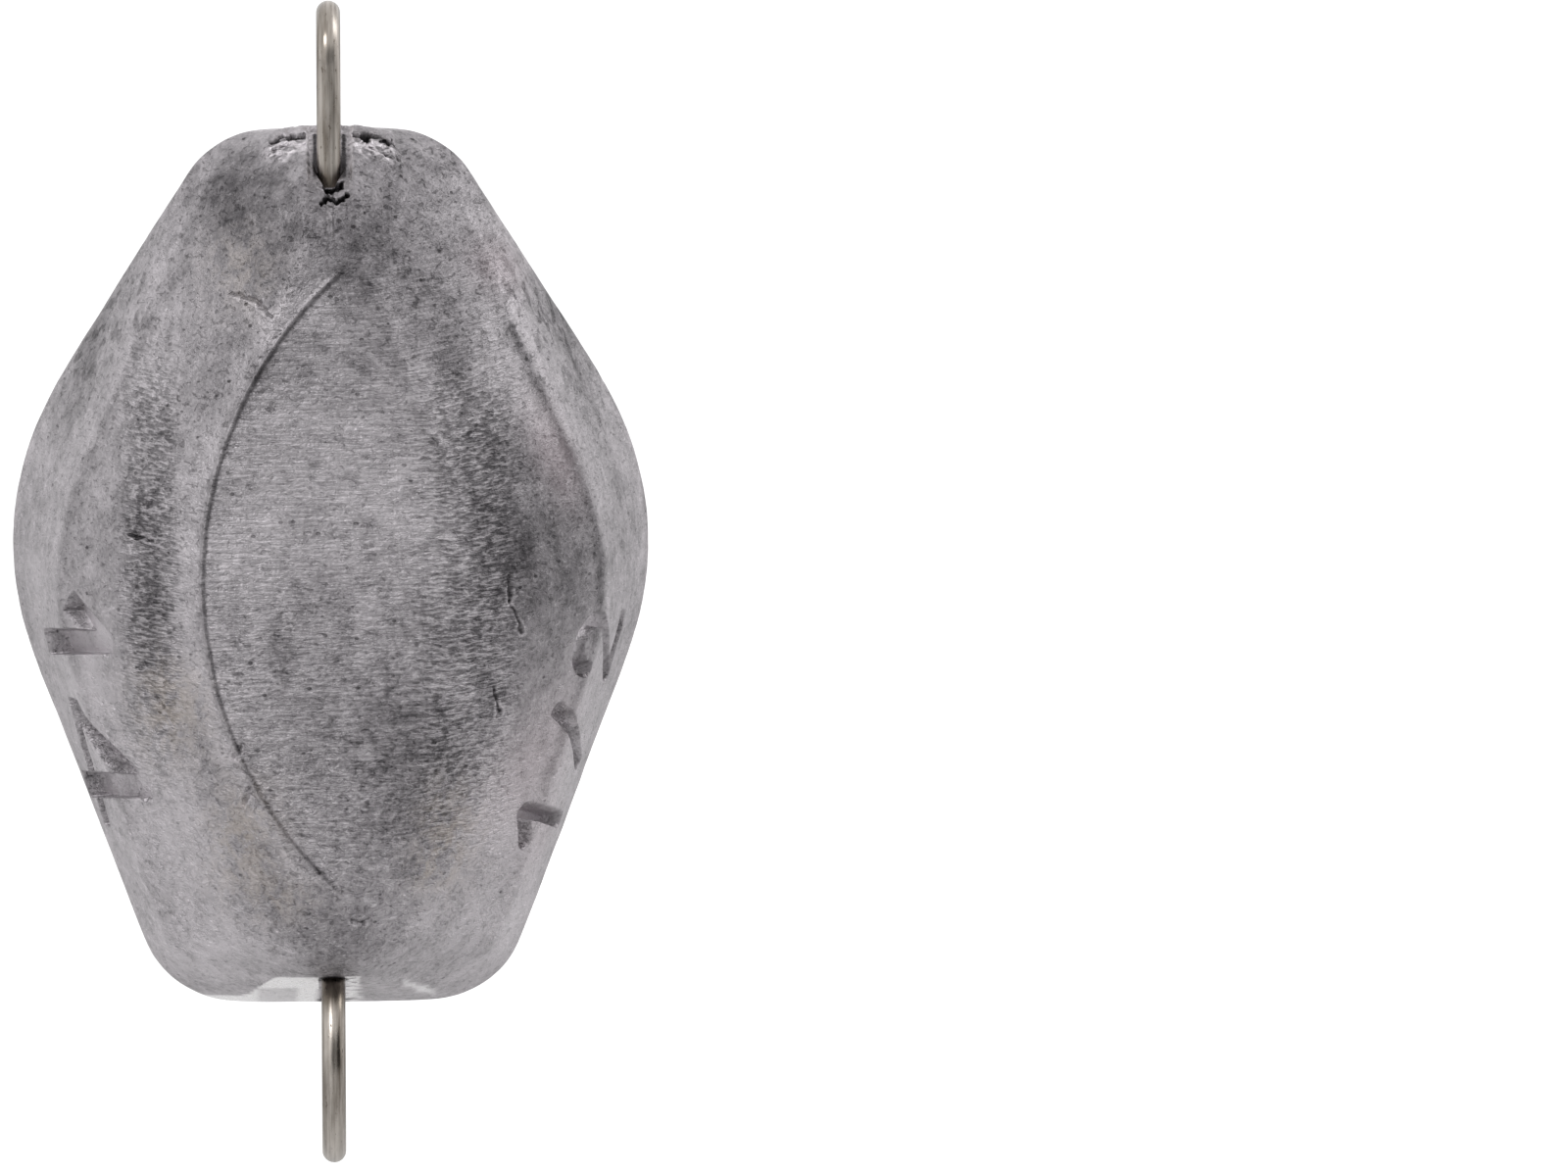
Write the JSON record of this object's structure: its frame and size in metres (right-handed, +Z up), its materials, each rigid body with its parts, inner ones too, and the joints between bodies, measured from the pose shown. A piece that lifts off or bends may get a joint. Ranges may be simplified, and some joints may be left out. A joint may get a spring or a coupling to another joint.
{
  "type": "fishing sinker",
  "caption": "Cast lead fishing sinker with a flat lens-shaped front, ridged back, weight marks on both sides, and a bent steel wire forming a line eye on top and a hook ring below.",
  "frame": {"origin": "top of the gap inside the line eye, where the line bears on the wire", "axes": "+Z up along the legs of the line eye, -Y towards the flat front face, +Y towards the ridged back, +X to the side with the fraction mark"},
  "size_m": [0.0144, 0.0098, 0.026],
  "materials": {
    "lead": "cast, mottled grey lead",
    "wire": "drawn stainless wire"
  },
  "bodies": {
    "root": {"lead_body": "lead", "wire_form": "wire"}
  },
  "joints": []
}
